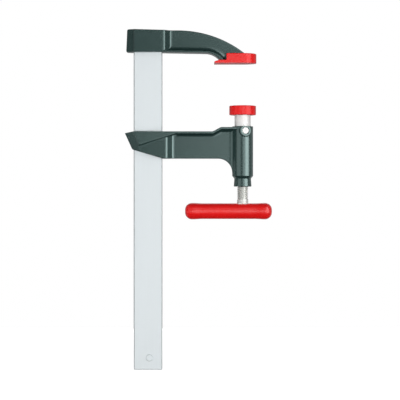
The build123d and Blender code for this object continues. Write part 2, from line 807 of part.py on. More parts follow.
# Retaining ring on the journal
with BuildPart() as retaining_ring:
    with BuildSketch(Plane.XY.offset(clip_bottom)):
        Circle(clip_radius)
        Circle(clip_groove_radius + slip, mode=Mode.SUBTRACT)
        Rectangle(clip_radius, clip_opening, align=(Align.MIN, Align.CENTER), mode=Mode.SUBTRACT)
    extrude(amount=clip_thickness)

# Pressure plate with the ball's socket and a groove for its ring
with BuildPart() as pressure_plate:
    with BuildSketch(Plane.XZ):
        with BuildLine():
            CenterArc((0, ball_center), socket_radius, 0, socket_vent_angle)
            Polyline(
                (socket_vent_radius, ball_center + socket_vent_rise),
                (socket_vent_radius, plate_top),
                (plate_radius, plate_top),
                (plate_radius, plate_bottom),
                (socket_radius, plate_bottom),
                (socket_radius, ring_z - ring_groove_half),
                (ring_groove_radius, ring_z - ring_groove_half),
                (ring_groove_radius, ring_z + ring_groove_half),
                (socket_radius, ring_z + ring_groove_half),
                (socket_radius, ball_center),
            )
        make_face()
    revolve(axis=Axis.Z)

# Wire ring that keeps the plate on the ball
with BuildPart() as plate_snap_ring:
    with BuildSketch(Plane.XZ):
        with Locations((ring_radius, ring_z)):
            Circle(ring_wire_radius)
    revolve(axis=Axis.Z, revolution_arc=360 - ring_opening)

# Pressure cap snapped over the plate
with BuildPart() as pressure_cap:
    with BuildSketch(Plane.XZ):
        with BuildLine():
            Polyline(
                (0, cap_top),
                (cap_radius, cap_top),
                (cap_radius, cap_bottom),
                (plate_radius - cap_lip, cap_bottom),
                (plate_radius - cap_lip, cap_bottom + cap_lip_height),
                (plate_radius + slip, cap_bottom + cap_lip_height),
                (plate_radius + slip, cap_top - cap_top_wall),
                (0, cap_top - cap_top_wall),
                close=True,
            )
        make_face()
    revolve(axis=Axis.Z)
    fillet(pressure_cap.edges().filter_by(GeomType.CIRCLE).sort_by(SortBy.RADIUS)[-2:], cap_round)

# Handle: a waisted bar across the spindle, with a socket for the tang
with BuildPart() as handle_grip:
    with BuildSketch(Plane.XZ):
        with BuildLine():
            left_end = Polyline(
                (-handle_long_end, handle_center),
                (-handle_long_end, handle_center + handle_radius - handle_end_round),
            )
            left_round = TangentArc(
                left_end @ 1,
                (handle_end_round - handle_long_end, handle_center + handle_radius),
                tangent=(0, 1),
            )
            left_bulb = Spline(
                left_round @ 1,
                (handle_bulb - handle_long_end, handle_center + handle_waist_radius),
                tangents=((1, 0), (1, 0)),
            )
            waist = Line(left_bulb @ 1, (handle_short_end - handle_bulb, handle_center + handle_waist_radius))
            right_bulb = Spline(
                waist @ 1,
                (handle_short_end - handle_end_round, handle_center + handle_radius),
                tangents=((1, 0), (1, 0)),
            )
            right_round = TangentArc(
                right_bulb @ 1,
                (handle_short_end, handle_center + handle_radius - handle_end_round),
                tangent=(1, 0),
            )
            Polyline(right_round @ 1, (handle_short_end, handle_center), left_end @ 0)
        make_face()
    revolve(axis=Axis((0, 0, handle_center), (1, 0, 0)))
    with BuildSketch(Plane.XY.offset(tang_bottom - slip)):
        Circle(thread_radius + slip)
        Rectangle(4 * thread_radius, 2 * (tang_half + slip), mode=Mode.INTERSECT)
    extrude(amount=tang_length + slip, mode=Mode.SUBTRACT)
    with BuildSketch(Plane.XZ.offset(-handle_radius)):
        with Locations((0, handle_center)):
            Circle(handle_pin_radius + slip)
    extrude(amount=handle_radius + handle_pin_front + slip, mode=Mode.SUBTRACT)

# Pin through the handle and the tang
with BuildPart() as handle_pin:
    with BuildSketch(Plane.XZ.offset(handle_pin_sunk - handle_waist_radius)):
        with Locations((0, handle_center)):
            Circle(handle_pin_radius)
    extrude(amount=handle_waist_radius - handle_pin_sunk + handle_pin_front)

pieces = {
    "rail": rail,
    "end_stop_pin": end_stop_pin,
    "fixed_arm": fixed_arm,
    "fixed_arm_pins": fixed_arm_pins,
    "fixed_pad": fixed_pad,
    "sliding_arm": sliding_arm,
    "rear_grip_pin": rear_grip_pin,
    "front_grip_pin": front_grip_pin,
    "guide_pin": guide_pin,
    "spindle_nut": spindle_nut,
    "push_tube": push_tube,
    "journal_bush": journal_bush,
    "ball_stud": ball_stud,
    "thrust_ball": thrust_ball,
    "spindle": spindle,
    "retaining_ring": retaining_ring,
    "pressure_plate": pressure_plate,
    "plate_snap_ring": plate_snap_ring,
    "pressure_cap": pressure_cap,
    "handle_grip": handle_grip,
    "handle_pin": handle_pin,
}
os.makedirs("parts", exist_ok=True)
for node, piece in pieces.items():
    piece.part.label = node
    export_step(piece.part, f"parts/{node}.step")
print(f"spindle feed {feed_travel:.2f}, arm up {slide_up:.2f}, arm down {slide_down:.2f}")
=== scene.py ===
import math

import bpy
from bpy.props import FloatProperty, FloatVectorProperty, IntProperty, PointerProperty
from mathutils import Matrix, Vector


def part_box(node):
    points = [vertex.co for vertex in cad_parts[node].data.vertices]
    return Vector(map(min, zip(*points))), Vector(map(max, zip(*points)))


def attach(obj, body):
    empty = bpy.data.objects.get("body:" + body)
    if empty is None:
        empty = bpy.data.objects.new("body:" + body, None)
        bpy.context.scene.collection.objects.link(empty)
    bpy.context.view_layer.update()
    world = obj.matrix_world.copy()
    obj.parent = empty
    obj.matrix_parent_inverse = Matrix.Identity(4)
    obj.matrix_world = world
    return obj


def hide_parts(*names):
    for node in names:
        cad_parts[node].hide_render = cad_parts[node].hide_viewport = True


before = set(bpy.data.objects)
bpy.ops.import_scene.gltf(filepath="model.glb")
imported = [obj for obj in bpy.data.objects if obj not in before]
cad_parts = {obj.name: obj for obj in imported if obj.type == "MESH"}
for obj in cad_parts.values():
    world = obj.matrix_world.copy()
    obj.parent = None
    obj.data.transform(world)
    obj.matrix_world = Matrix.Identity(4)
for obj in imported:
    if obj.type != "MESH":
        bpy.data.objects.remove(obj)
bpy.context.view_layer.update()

bl_info = {
    "name": "Bar clamp dressing",
    "version": (1, 0, 0),
    "blender": (4, 5, 0),
    "location": "View3D > Sidebar > Bar clamp",
    "description": "Finishes for a bar clamp's castings, rail, screw, pads and handle, and its studio stage",
    "category": "Object",
}


class CastingFinish(bpy.types.PropertyGroup):
    """Painted die castings: the fixed arm and the sliding arm."""

    paint: FloatVectorProperty(
        name="Paint",
        description="Colour of the stove enamel on both arms",
        subtype="COLOR",
        size=3,
        min=0.0,
        max=1.0,
        default=(0.011, 0.030, 0.028),
    )
    paint_thin: FloatVectorProperty(
        name="Thin paint",
        description="Colour where the enamel draws thin over an edge",
        subtype="COLOR",
        size=3,
        min=0.0,
        max=1.0,
        default=(0.030, 0.055, 0.052),
    )
    gloss_tint: FloatVectorProperty(
        name="Gloss tint",
        description="Colour that the enamel's fine metal flake gives to its gloss",
        subtype="COLOR",
        size=3,
        min=0.0,
        max=1.0,
        default=(0.77, 1.0, 0.97),
    )
    roughness: FloatProperty(
        name="Roughness",
        description="Mean roughness of the enamel",
        subtype="FACTOR",
        min=0.0,
        max=1.0,
        default=0.26,
    )
    fixed_gloss: FloatProperty(
        name="Fixed arm gloss",
        description="Refractive index of the enamel on the fixed arm",
        min=1.0,
        max=4.0,
        default=2.02,
    )
    slider_gloss: FloatProperty(
        name="Sliding arm gloss",
        description="Refractive index of the enamel on the sliding arm",
        min=1.0,
        max=4.0,
        default=2.36,
    )
    grain: FloatProperty(
        name="Grain",
        description="Width of the orange peel in the enamel",
        subtype="DISTANCE",
        unit="LENGTH",
        min=0.0001,
        default=0.0011,
    )
    mesh_size: FloatProperty(
        name="Mesh size",
        description="Size of the faces that carry the rounded edges of a casting",
        subtype="DISTANCE",
        unit="LENGTH",
        min=0.0001,
        default=0.0003,
    )
    rounding: IntProperty(
        name="Rounding",
        description="Smoothing passes that round the edges of a casting",
        min=0,
        default=3,
    )


class RailFinish(bpy.types.PropertyGroup):
    """Zinc-plated drawn bar."""

    zinc: FloatVectorProperty(
        name="Zinc",
        description="Colour of the plating",
        subtype="COLOR",
        size=3,
        min=0.0,
        max=1.0,
        default=(0.715, 0.765, 0.785),
    )
    roughness: FloatProperty(
        name="Roughness",
        description="Mean roughness of the plating",
        subtype="FACTOR",
        min=0.0,
        max=1.0,
        default=0.48,
    )
    # Painted shade: a band along the bar's long corners is darkened to stand in for the light falling off
    # where they round away
    painted_shade_width: FloatProperty(
        name="Painted shade width",
        description="Width of the rubbed band along the corners",
        subtype="DISTANCE",
        unit="LENGTH",
        min=0.0001,
        default=0.0012,
    )
    draw_width: FloatProperty(
        name="Drawing line width",
        description="Width of the fine lines left along the bar",
        subtype="DISTANCE",
        unit="LENGTH",
        min=0.0001,
        default=0.0007,
    )


class SteelFinish(bpy.types.PropertyGroup):
    """Bright turned steel, dull inner steel and the bush's bronze."""

    bright: FloatVectorProperty(
        name="Bright steel",
        description="Colour of the push tube and the guide pin",
        subtype="COLOR",
        size=3,
        min=0.0,
        max=1.0,
        default=(0.85, 0.85, 0.835),
    )
    spindle: FloatVectorProperty(
        name="Spindle steel",
        description="Colour of the spindle",
        subtype="COLOR",
        size=3,
        min=0.0,
        max=1.0,
        default=(0.70, 0.71, 0.68),
    )
    bright_roughness: FloatProperty(
        name="Bright roughness",
        description="Mean roughness of the bright steel",
        subtype="FACTOR",
        min=0.0,
        max=1.0,
        default=0.40,
    )
    bright_metal: FloatProperty(
        name="Bright bare metal",
        description="How far the push tube and the guide pin shine through their pale plating",
        subtype="FACTOR",
        min=0.0,
        max=1.0,
        default=0.15,
    )
    thread_metal: FloatProperty(
        name="Thread bare metal",
        description="How far the spindle's thread shines through its pale plating",
        subtype="FACTOR",
        min=0.0,
        max=1.0,
        default=0.65,
    )
    collar_metal: FloatProperty(
        name="Collar bare metal",
        description="How far the spindle's collar shines through its pale plating",
        subtype="FACTOR",
        min=0.0,
        max=1.0,
        default=0.40,
    )
    collar_reach: FloatProperty(
        name="Collar reach",
        description="Height of the spindle's collar above the handle",
        subtype="DISTANCE",
        unit="LENGTH",
        min=0.0,
        default=0.0034,
    )
    inner: FloatVectorProperty(
        name="Inner steel",
        description="Colour of the oiled steel pieces inside",
        subtype="COLOR",
        size=3,
        min=0.0,
        max=1.0,
        default=(0.36, 0.36, 0.37),
    )
    bronze: FloatVectorProperty(
        name="Bush bronze",
        description="Colour of the sintered journal bush",
        subtype="COLOR",
        size=3,
        min=0.0,
        max=1.0,
        default=(0.58, 0.36, 0.16),
    )
    turning: FloatProperty(
        name="Turning line width",
        description="Width of the fine lines round a turned piece",
        subtype="DISTANCE",
        unit="LENGTH",
        min=0.0001,
        default=0.0004,
    )


class PlasticFinish(bpy.types.PropertyGroup):
    """Moulded red plastic of the jaw pads and the handle."""

    pad_red: FloatVectorProperty(
        name="Pad red",
        description="Colour of the two jaw pads",
        subtype="COLOR",
        size=3,
        min=0.0,
        max=1.0,
        default=(0.90, 0.009, 0.009),
    )
    handle_red: FloatVectorProperty(
        name="Handle red",
        description="Colour of the handle",
        subtype="COLOR",
        size=3,
        min=0.0,
        max=1.0,
        default=(0.84, 0.006, 0.006),
    )
    roughness: FloatProperty(
        name="Roughness",
        description="Mean roughness of the plastic",
        subtype="FACTOR",
        min=0.0,
        max=1.0,
        default=0.24,
    )
    pad_gloss: FloatProperty(
        name="Pad gloss",
        description="Refractive index of the pads' plastic",
        min=1.0,
        max=4.0,
        default=1.46,
    )
    handle_gloss: FloatProperty(
        name="Handle gloss",
        description="Refractive index of the handle's plastic",
        min=1.0,
        max=4.0,
        default=1.66,
    )
    grain: FloatProperty(
        name="Grain",
        description="Width of the mould's eroded grain",
        subtype="DISTANCE",
        unit="LENGTH",
        min=0.0001,
        default=0.0005,
    )
    mesh_size: FloatProperty(
        name="Mesh size",
        description="Size of the faces that carry the rounded edges of a pad",
        subtype="DISTANCE",
        unit="LENGTH",
        min=0.0001,
        default=0.00022,
    )
    rounding: IntProperty(
        name="Rounding",
        description="Smoothing passes that round the edges of a pad",
        min=0,
        default=4,
    )


class StageSetup(bpy.types.PropertyGroup):
    """Floor, lamps and camera."""

    eye: FloatVectorProperty(
        name="Eye",
        description="Place of the camera, which looks along +Y",
        subtype="TRANSLATION",
        unit="LENGTH",
        size=3,
        default=(-0.0372, -1.55, -0.119),
    )
    field: FloatProperty(
        name="Field",
        description="Width of the view at the clamp's middle plane",
        subtype="DISTANCE",
        unit="LENGTH",
        min=0.01,
        default=0.3491,
    )
    floor_z: FloatProperty(
        name="Floor height",
        description="Height of the floor, below the handle with the arm at the end of the rail",
        subtype="DISTANCE",
        unit="LENGTH",
        default=-0.318,
    )
    floor_colour: FloatVectorProperty(
        name="Floor",
        description="Colour of the floor",
        subtype="COLOR",
        size=3,
        min=0.0,
        max=1.0,
        default=(0.60, 0.60, 0.60),
    )
    floor_lift: FloatProperty(
        name="Floor lift",
        description="Light that the floor adds of itself to reach white in the picture",
        min=0.0,
        max=1.0,
        default=0.90,
    )
    ambient: FloatProperty(
        name="Ambient",
        description="Strength of the even light from all round",
        min=0.0,
        max=1.0,
        default=0.15,
    )
    room: FloatProperty(
        name="Room",
        description="Brightness of the room in front of the clamp, as its gloss shows it",
        min=0.0,
        max=1.0,
        default=0.06,
    )
    backdrop: FloatProperty(
        name="Backdrop",
        description="Brightness of the floor and the backdrop, as the clamp's gloss shows them",
        min=0.0,
        max=1.0,
        default=0.32,
    )
    left_card: FloatProperty(
        name="Left card",
        description="Brightness of the grey card on the left",
        min=0.0,
        max=1.0,
        default=0.30,
    )
    right_card: FloatProperty(
        name="Right card",
        description="Brightness of the grey card on the right",
        min=0.0,
        max=1.0,
        default=0.40,
    )
    under_card: FloatProperty(
        name="Under card",
        description="Brightness of the dark card on the floor under the clamp",
        min=0.0,
        max=1.0,
        default=0.02,
    )
    front_wash: FloatProperty(
        name="Front wash",
        description="Brightness of the matt light from the camera's side",
        min=0.0,
        default=6.0,
    )
    left_wash: FloatProperty(
        name="Left wash",
        description="Brightness of the matt light from the left",
        min=0.0,
        default=1.6,
    )
    right_wash: FloatProperty(
        name="Right wash",
        description="Brightness of the matt light from the right",
        min=0.0,
        default=2.4,
    )
    back_wash: FloatProperty(
        name="Back wash",
        description="Brightness of the matt light from behind",
        min=0.0,
        default=4.5,
    )
    key_radiance: FloatProperty(
        name="Key softbox",
        description="Brightness of the large softbox on the right",
        min=0.0,
        default=0.95,
    )
    core_radiance: FloatProperty(
        name="Key core",
        description="Brightness that the middle of the large softbox adds",
        min=0.0,
        default=1.90,
    )
    fill_radiance: FloatProperty(
        name="Fill softbox",
        description="Brightness of the softbox on the left",
        min=0.0,
        default=0.60,
    )
    back_radiance: FloatProperty(
        name="Back softbox",
        description="Brightness of the softbox behind the clamp",
        min=0.0,
        default=1.2,
    )


def bare_finish(name):
    """A new material with its node tree and its surface shader."""
    finish = bpy.data.materials.new(name)
    finish.use_nodes = True
    tree = finish.node_tree
    return finish, tree, tree.nodes["Principled BSDF"]


def own_axes(tree, space="Object"):
    """The three axes of a space as fields, by name."""
    place = tree.nodes.new("ShaderNodeTexCoord")
    axes = tree.nodes.new("ShaderNodeSeparateXYZ")
    tree.links.new(place.outputs[space], axes.inputs["Vector"])
    return axes.outputs


def reckon(tree, operation, *terms):
    """One step of arithmetic on fields and numbers."""
    step = tree.nodes.new("ShaderNodeMath")
    step.operation = operation
    for socket, term in zip(step.inputs, terms):
        if isinstance(term, bpy.types.NodeSocket):
            tree.links.new(term, socket)
        else:
            socket.default_value = term
    return step.outputs["Value"]


def grain_field(tree, width, stretch=(1.0, 1.0, 1.0), detail=3.0):
    """Noise in the clamp's own space whose spots are about one width across."""
    place = tree.nodes.new("ShaderNodeTexCoord")
    spread = tree.nodes.new("ShaderNodeMapping")
    spread.inputs["Scale"].default_value = stretch
    noise = tree.nodes.new("ShaderNodeTexNoise")
    noise.inputs["Scale"].default_value = 1.0 / width
    noise.inputs["Detail"].default_value = detail
    tree.links.new(place.outputs["Object"], spread.inputs["Vector"])
    tree.links.new(spread.outputs["Vector"], noise.inputs["Vector"])
    return noise.outputs["Fac"]


def spread_value(tree, value, low, high, source=(0.3, 0.7)):
    """Maps a field's middle range onto low to high."""
    remap = tree.nodes.new("ShaderNodeMapRange")
    remap.inputs["From Min"].default_value = source[0]
    remap.inputs["From Max"].default_value = source[1]
    remap.inputs["To Min"].default_value = low
    remap.inputs["To Max"].default_value = high
    tree.links.new(value, remap.inputs["Value"])
    return remap.outputs["Result"]


def blend_colours(tree, value, first, second):
    """Mixes two colours, or colour sockets, by a field."""
    mix = tree.nodes.new("ShaderNodeMix")
    mix.data_type = "RGBA"
    tree.links.new(value, mix.inputs["Factor"])
    for colour, socket in ((first, mix.inputs["A"]), (second, mix.inputs["B"])):
        if isinstance(colour, bpy.types.NodeSocket):
            tree.links.new(colour, socket)
        else:
            socket.default_value = (*colour, 1.0)
    return mix.outputs["Result"]


def shade(colour, factor):
    """A colour made lighter or darker."""
    return tuple(min(1.0, part * factor) for part in colour)


def clouded(tree, field, colour, change):
    """A colour that a field makes darker and lighter by a small share."""
    return blend_colours(
        tree,
        spread_value(tree, field, 0.0, 1.0),
        shade(colour, 1.0 - change),
        shade(colour, 1.0 + change),
    )


def uneven_roughness(tree, shader, field, roughness, less, more):
    """Roughness that a field takes a little below and above its mean."""
    rough = spread_value(tree, field, roughness - less, roughness + more)
    tree.links.new(rough, shader.inputs["Roughness"])


def relief(tree, shader, field, strength, height):
    """Fine relief on a surface from a field."""
    bump = tree.nodes.new("ShaderNodeBump")
    bump.inputs["Strength"].default_value = strength
    bump.inputs["Distance"].default_value = height
    tree.links.new(field, bump.inputs["Height"])
    tree.links.new(bump.outputs["Normal"], shader.inputs["Normal"])


# Enamel: faint clouds in its colour and roughness, thin paint over sharp edges, and orange peel
ENAMEL_CLOUD_WIDTH = 0.007
ENAMEL_CLOUD_SHADE = 0.02
ENAMEL_CLOUD_ROUGHNESS = 0.01
ENAMEL_SHARP_EDGE = (0.57, 0.68)
ENAMEL_THIN_SHARE = 0.4
ENAMEL_PEEL_DETAIL = 2.0
ENAMEL_PEEL_STRENGTH = 0.03
ENAMEL_PEEL_HEIGHT = 0.00005


def enamel(name, gloss, settings):
    """Glossy stove enamel on a die casting, thinner over the edges."""
    finish, tree, shader = bare_finish(name)
    cloud = grain_field(tree, ENAMEL_CLOUD_WIDTH)
    peel = grain_field(tree, settings.grain, detail=ENAMEL_PEEL_DETAIL)
    even = clouded(tree, cloud, settings.paint, ENAMEL_CLOUD_SHADE)
    edge = tree.nodes.new("ShaderNodeNewGeometry").outputs["Pointiness"]
    thin = spread_value(tree, edge, 0.0, ENAMEL_THIN_SHARE, source=ENAMEL_SHARP_EDGE)
    tree.links.new(blend_colours(tree, thin, even, settings.paint_thin), shader.inputs["Base Color"])
    change = ENAMEL_CLOUD_ROUGHNESS
    uneven_roughness(tree, shader, cloud, settings.roughness, change, change)
    shader.inputs["IOR"].default_value = gloss
    shader.inputs["Specular Tint"].default_value = (*settings.gloss_tint, 1.0)
    relief(tree, shader, peel, ENAMEL_PEEL_STRENGTH, ENAMEL_PEEL_HEIGHT)
    return finish


def corner_band(tree, low, high, width):
    """1 along the four long corners of an upright bar, fading to 0 over a width."""
    axes = own_axes(tree)
    bands = []
    for axis, least, most in zip("XY", low, high):
        half = (most - least) / 2
        apart = reckon(tree, "ABSOLUTE", reckon(tree, "SUBTRACT", axes[axis], (most + least) / 2))
        bands.append(spread_value(tree, apart, 0.0, 1.0, source=(half - width, half)))
    return reckon(tree, "MINIMUM", *bands)


# Zinc plate: fine lines drawn along the bar, longer clouds, and painted shade that darkens its long corners
ZINC_LINE_STRETCH = (1.0, 1.0, 0.012)
ZINC_LINE_DETAIL = 4.0
ZINC_LINE_SHADE = 0.01
ZINC_LINE_ROUGHNESS = 0.04
ZINC_LINE_STRENGTH = 0.02
ZINC_LINE_HEIGHT = 0.00003
ZINC_CLOUD_WIDTH = 0.012
ZINC_CLOUD_STRETCH = (1.0, 1.0, 0.35)
ZINC_CLOUD_SHARE = 0.3
ZINC_CLOUD_SHADE = 0.96
# How dark the painted shade makes the zinc at the very corners
ZINC_PAINTED_CORNER_SHADE = 0.35
ZINC_METAL = 0.2


def zinc_plate(settings):
    """Pale zinc plating on a drawn bar, with fine lines along it and painted shade darkening its corners."""
    finish, tree, shader = bare_finish("zinc_plate")
    zinc = settings.zinc
    lines = grain_field(tree, settings.draw_width, stretch=ZINC_LINE_STRETCH, detail=ZINC_LINE_DETAIL)
    cloud = grain_field(tree, ZINC_CLOUD_WIDTH, stretch=ZINC_CLOUD_STRETCH)
    drawn = clouded(tree, lines, zinc, ZINC_LINE_SHADE)
    dull = spread_value(tree, cloud, 0.0, ZINC_CLOUD_SHARE)
    plated = blend_colours(tree, dull, drawn, shade(zinc, ZINC_CLOUD_SHADE))
    # Painted shade: the zinc darkens towards the four long corners, in place of the shade that falls there
    painted_corner_shade = corner_band(tree, *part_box("rail"), settings.painted_shade_width)
    tree.links.new(
        blend_colours(tree, painted_corner_shade, plated, shade(zinc, ZINC_PAINTED_CORNER_SHADE)), shader.inputs["Base Color"]
    )
    change = ZINC_LINE_ROUGHNESS
    uneven_roughness(tree, shader, lines, settings.roughness, change, change)
    shader.inputs["Metallic"].default_value = ZINC_METAL
    relief(tree, shader, lines, ZINC_LINE_STRENGTH, ZINC_LINE_HEIGHT)
    return finish


# Turned steel: fine lines round a piece and faint clouds, and the roughness of the inner pieces
STEEL_LINE_STRETCH = (0.03, 0.03, 1.0)
STEEL_LINE_ROUGHNESS = 0.04
STEEL_LINE_STRENGTH = 0.008
STEEL_LINE_HEIGHT = 0.00002
STEEL_CLOUD_WIDTH = 0.006
STEEL_CLOUD_SHADE = 0.03
INNER_ROUGHNESS = 0.36
BRONZE_ROUGHNESS = 0.42


def turned_steel(name, colour, roughness, line_width, metallic=1.0):
    """Steel turned about the spindle axis, with fine lines round it."""
    finish, tree, shader = bare_finish(name)
    lines = grain_field(tree, line_width, stretch=STEEL_LINE_STRETCH)
    cloud = grain_field(tree, STEEL_CLOUD_WIDTH)
    tree.links.new(clouded(tree, cloud, colour, STEEL_CLOUD_SHADE), shader.inputs["Base Color"])
    change = STEEL_LINE_ROUGHNESS
    uneven_roughness(tree, shader, lines, roughness, change, change)
    shader.inputs["Metallic"].default_value = metallic
    relief(tree, shader, lines, STEEL_LINE_STRENGTH, STEEL_LINE_HEIGHT)
    return finish


def screw_steel(settings):
    """Steel of the spindle, worn brighter along its thread than on its collar."""
    finish = turned_steel("spindle_steel", settings.spindle, settings.bright_roughness, settings.turning)
    tree = finish.node_tree
    collar_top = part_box("handle_grip")[1][2] + settings.collar_reach
    edge = (collar_top - settings.turning, collar_top + settings.turning)
    height = own_axes(tree)["Z"]
    worn = spread_value(tree, height, settings.collar_metal, settings.thread_metal, source=edge)
    tree.links.new(worn, tree.nodes["Principled BSDF"].inputs["Metallic"])
    return finish


# Plastic: streaks where it flowed in the mould, and the mould's eroded grain
PLASTIC_FLOW_WIDTH = 0.014
PLASTIC_FLOW_STRETCH = (0.5, 1.0, 1.0)
PLASTIC_FLOW_SHADE = 0.05
PLASTIC_GRAIN_DETAIL = 2.0
PLASTIC_GRAIN_SMOOTHER = 0.04
PLASTIC_GRAIN_ROUGHER = 0.05
PLASTIC_GRAIN_STRENGTH = 0.08
PLASTIC_GRAIN_HEIGHT = 0.00004


def moulded_plastic(name, colour, gloss, settings):
    """Satin moulded plastic with a fine eroded grain."""
    finish, tree, shader = bare_finish(name)
    grain = grain_field(tree, settings.grain, detail=PLASTIC_GRAIN_DETAIL)
    flow = grain_field(tree, PLASTIC_FLOW_WIDTH, stretch=PLASTIC_FLOW_STRETCH)
    tree.links.new(clouded(tree, flow, colour, PLASTIC_FLOW_SHADE), shader.inputs["Base Color"])
    uneven_roughness(
        tree, shader, grain, settings.roughness, PLASTIC_GRAIN_SMOOTHER, PLASTIC_GRAIN_ROUGHER
    )
    shader.inputs["IOR"].default_value = gloss
    relief(tree, shader, grain, PLASTIC_GRAIN_STRENGTH, PLASTIC_GRAIN_HEIGHT)
    return finish


def coat_node(node, finish):
    """Gives a carried-over CAD node its finish."""
    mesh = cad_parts[node].data
    mesh.materials.clear()
    mesh.materials.append(finish)


SMOOTHING_FACTOR = 0.5  # how far one pass takes a point towards the middle of its neighbours


def soft_edged(name, node, body, finish, mesh_size, passes):
    """A copy of a CAD node with the rounded edges of a casting or moulding, in the node's place."""
    piece = bpy.data.objects.new(name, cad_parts[node].data.copy())
    bpy.context.scene.collection.objects.link(piece)
    remesh = piece.modifiers.new("Even faces", "REMESH")
    remesh.mode = "VOXEL"
    remesh.voxel_size = mesh_size
    remesh.use_smooth_shade = True
    smooth = piece.modifiers.new("Rounded edges", "SMOOTH")
    smooth.factor = SMOOTHING_FACTOR
    smooth.iterations = passes
    evaluated = piece.evaluated_get(bpy.context.evaluated_depsgraph_get())
    rounded = bpy.data.meshes.new_from_object(evaluated)
    piece.modifiers.clear()
    piece.data = rounded
    if not rounded.polygons:
        raise RuntimeError(f"{name} came out empty")
    rounded.materials.clear()
    rounded.materials.append(finish)
    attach(piece, body)
    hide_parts(node)


class BARCLAMP_OT_castings(bpy.types.Operator):
    """Makes the two painted arms with the rounded edges of die castings"""

    bl_idname = "barclamp.castings"
    bl_label = "Painted arms"

    def execute(self, context):
        settings = context.scene.barclamp_casting
        for name, node, body, gloss in (
            ("fixed_arm_casting", "fixed_arm", "rail_frame", settings.fixed_gloss),
            ("sliding_arm_casting", "sliding_arm", "slider", settings.slider_gloss),
        ):
            finish = enamel(f"{node}_enamel", gloss, settings)
            soft_edged(name, node, body, finish, settings.mesh_size, settings.rounding)
        return {"FINISHED"}


class BARCLAMP_OT_rail(bpy.types.Operator):
    """Plates the rail and its end stop"""

    bl_idname = "barclamp.rail"
    bl_label = "Plated rail"

    def execute(self, context):
        finish = zinc_plate(context.scene.barclamp_rail)
        for node in ("rail", "end_stop_pin"):
            coat_node(node, finish)
        return {"FINISHED"}


class BARCLAMP_OT_bright_steel(bpy.types.Operator):
    """Finishes the push tube, the spindle and the guide pin in bright steel"""

    bl_idname = "barclamp.bright_steel"
    bl_label = "Bright steel"

    def execute(self, context):
        settings = context.scene.barclamp_steel
        plated = turned_steel(
            "bright_steel",
            settings.bright,
            settings.bright_roughness,
            settings.turning,
            settings.bright_metal,
        )
        for node in ("push_tube", "guide_pin"):
            coat_node(node, plated)
        coat_node("spindle", screw_steel(settings))
        return {"FINISHED"}


class BARCLAMP_OT_jaw_pads(bpy.types.Operator):
    """Makes the two red jaw pads with moulded edges"""

    bl_idname = "barclamp.jaw_pads"
    bl_label = "Jaw pads"

    def execute(self, context):
        settings = context.scene.barclamp_plastic
        finish = moulded_plastic("pad_plastic", settings.pad_red, settings.pad_gloss, settings)
        for name, node, body in (
            ("fixed_pad_moulding", "fixed_pad", "rail_frame"),
            ("pressure_cap_moulding", "pressure_cap", "pressure_pad"),
        ):
            soft_edged(name, node, body, finish, settings.mesh_size, settings.rounding)
        return {"FINISHED"}


class BARCLAMP_OT_handle(bpy.types.Operator):
    """Finishes the red handle"""

    bl_idname = "barclamp.handle"
    bl_label = "Handle"

    def execute(self, context):
        settings = context.scene.barclamp_plastic
        finish = moulded_plastic("handle_plastic", settings.handle_red, settings.handle_gloss, settings)
        coat_node("handle_grip", finish)
        # The enamel above would otherwise show the handle as red specks on its lower edges
        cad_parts["handle_grip"].visible_glossy = False
        return {"FINISHED"}


class BARCLAMP_OT_inner_pieces(bpy.types.Operator):
    """Finishes the pins, balls, rings, nut and bush inside"""

    bl_idname = "barclamp.inner_pieces"
    bl_label = "Inner pieces"

    def execute(self, context):
        settings = context.scene.barclamp_steel
        steel = turned_steel("oiled_steel", settings.inner, INNER_ROUGHNESS, settings.turning)
        bronze = turned_steel("bush_bronze", settings.bronze, BRONZE_ROUGHNESS, settings.turning)
        for node in (
            "fixed_arm_pins",
            "rear_grip_pin",
            "front_grip_pin",
            "spindle_nut",
            "ball_stud",
            "thrust_ball",
            "retaining_ring",
            "pressure_plate",
            "plate_snap_ring",
            "handle_pin",
        ):
            coat_node(node, steel)
        coat_node("journal_bush", bronze)
        return {"FINISHED"}


# Stage sheets, in metres: the floor, the two side cards and the dark card just above the floor
FLOOR_HALF_WIDTH = 1.5
FLOOR_DEPTH = (-0.12, 1.2)
SIDE_CARD_DEPTH = (0.06, 1.3)
SIDE_CARD_HEIGHT = (-0.9, 0.7)
LEFT_CARD_X = -0.50
RIGHT_CARD_X = 0.45
UNDER_CARD_HALF_WIDTH = 0.60
UNDER_CARD_DEPTH = (-0.30, 0.15)
UNDER_CARD_RISE = 0.002
# Matt light: name, angle from the camera in degrees, distance and width, all of one height and lift
WASHES = (
    ("front_wash", 0.0, 1.80, 1.60),
    ("left_wash", -75.0, 1.50, 1.00),
    ("right_wash", 75.0, 1.50, 1.00),
    ("back_wash", 180.0, 1.80, 1.60),
)
WASH_HEIGHT = 0.80
WASH_LIFT = -0.05
# Light for the gloss: name, setting, angle from the camera in degrees, distance, width, height and lift
GLOSS_BOXES = (
    ("key_softbox", "key_radiance", 37.2, 1.25, 1.85, 2.60, 0.29),
    ("key_core", "core_radiance", 49.0, 1.20, 0.80, 2.40, 0.25),
    ("fill_softbox", "fill_radiance", -45.0, 1.40, 1.27, 2.80, 0.30),
)
# Light from behind: angle from the camera in degrees, distance, width, height and lift
BACK_BOX = (180.0, 1.50, 1.20, 1.20, 1.00)
BACKDROP_FADE = (0.3, 0.75)  # share of +Y in a direction, from the room in front to the backdrop
WHITE = (1.0, 1.0, 1.0, 1.0)
SENSOR_WIDTH = 36.0  # mm
SIGHT = 50.0  # how far the camera sees, in metres


def seen_strength(tree, shown, mirrored):
    """A strength for the camera's rays, another for mirrored and refracted ones, and 0 for light."""
    path = tree.nodes.new("ShaderNodeLightPath").outputs
    straight = reckon(tree, "MULTIPLY", path["Is Camera Ray"], shown)
    glossy = reckon(tree, "MULTIPLY", path["Is Glossy Ray"], mirrored)
    refracted = reckon(tree, "MULTIPLY", path["Is Transmission Ray"], mirrored)
    return reckon(tree, "MAXIMUM", reckon(tree, "MAXIMUM", straight, glossy), refracted)


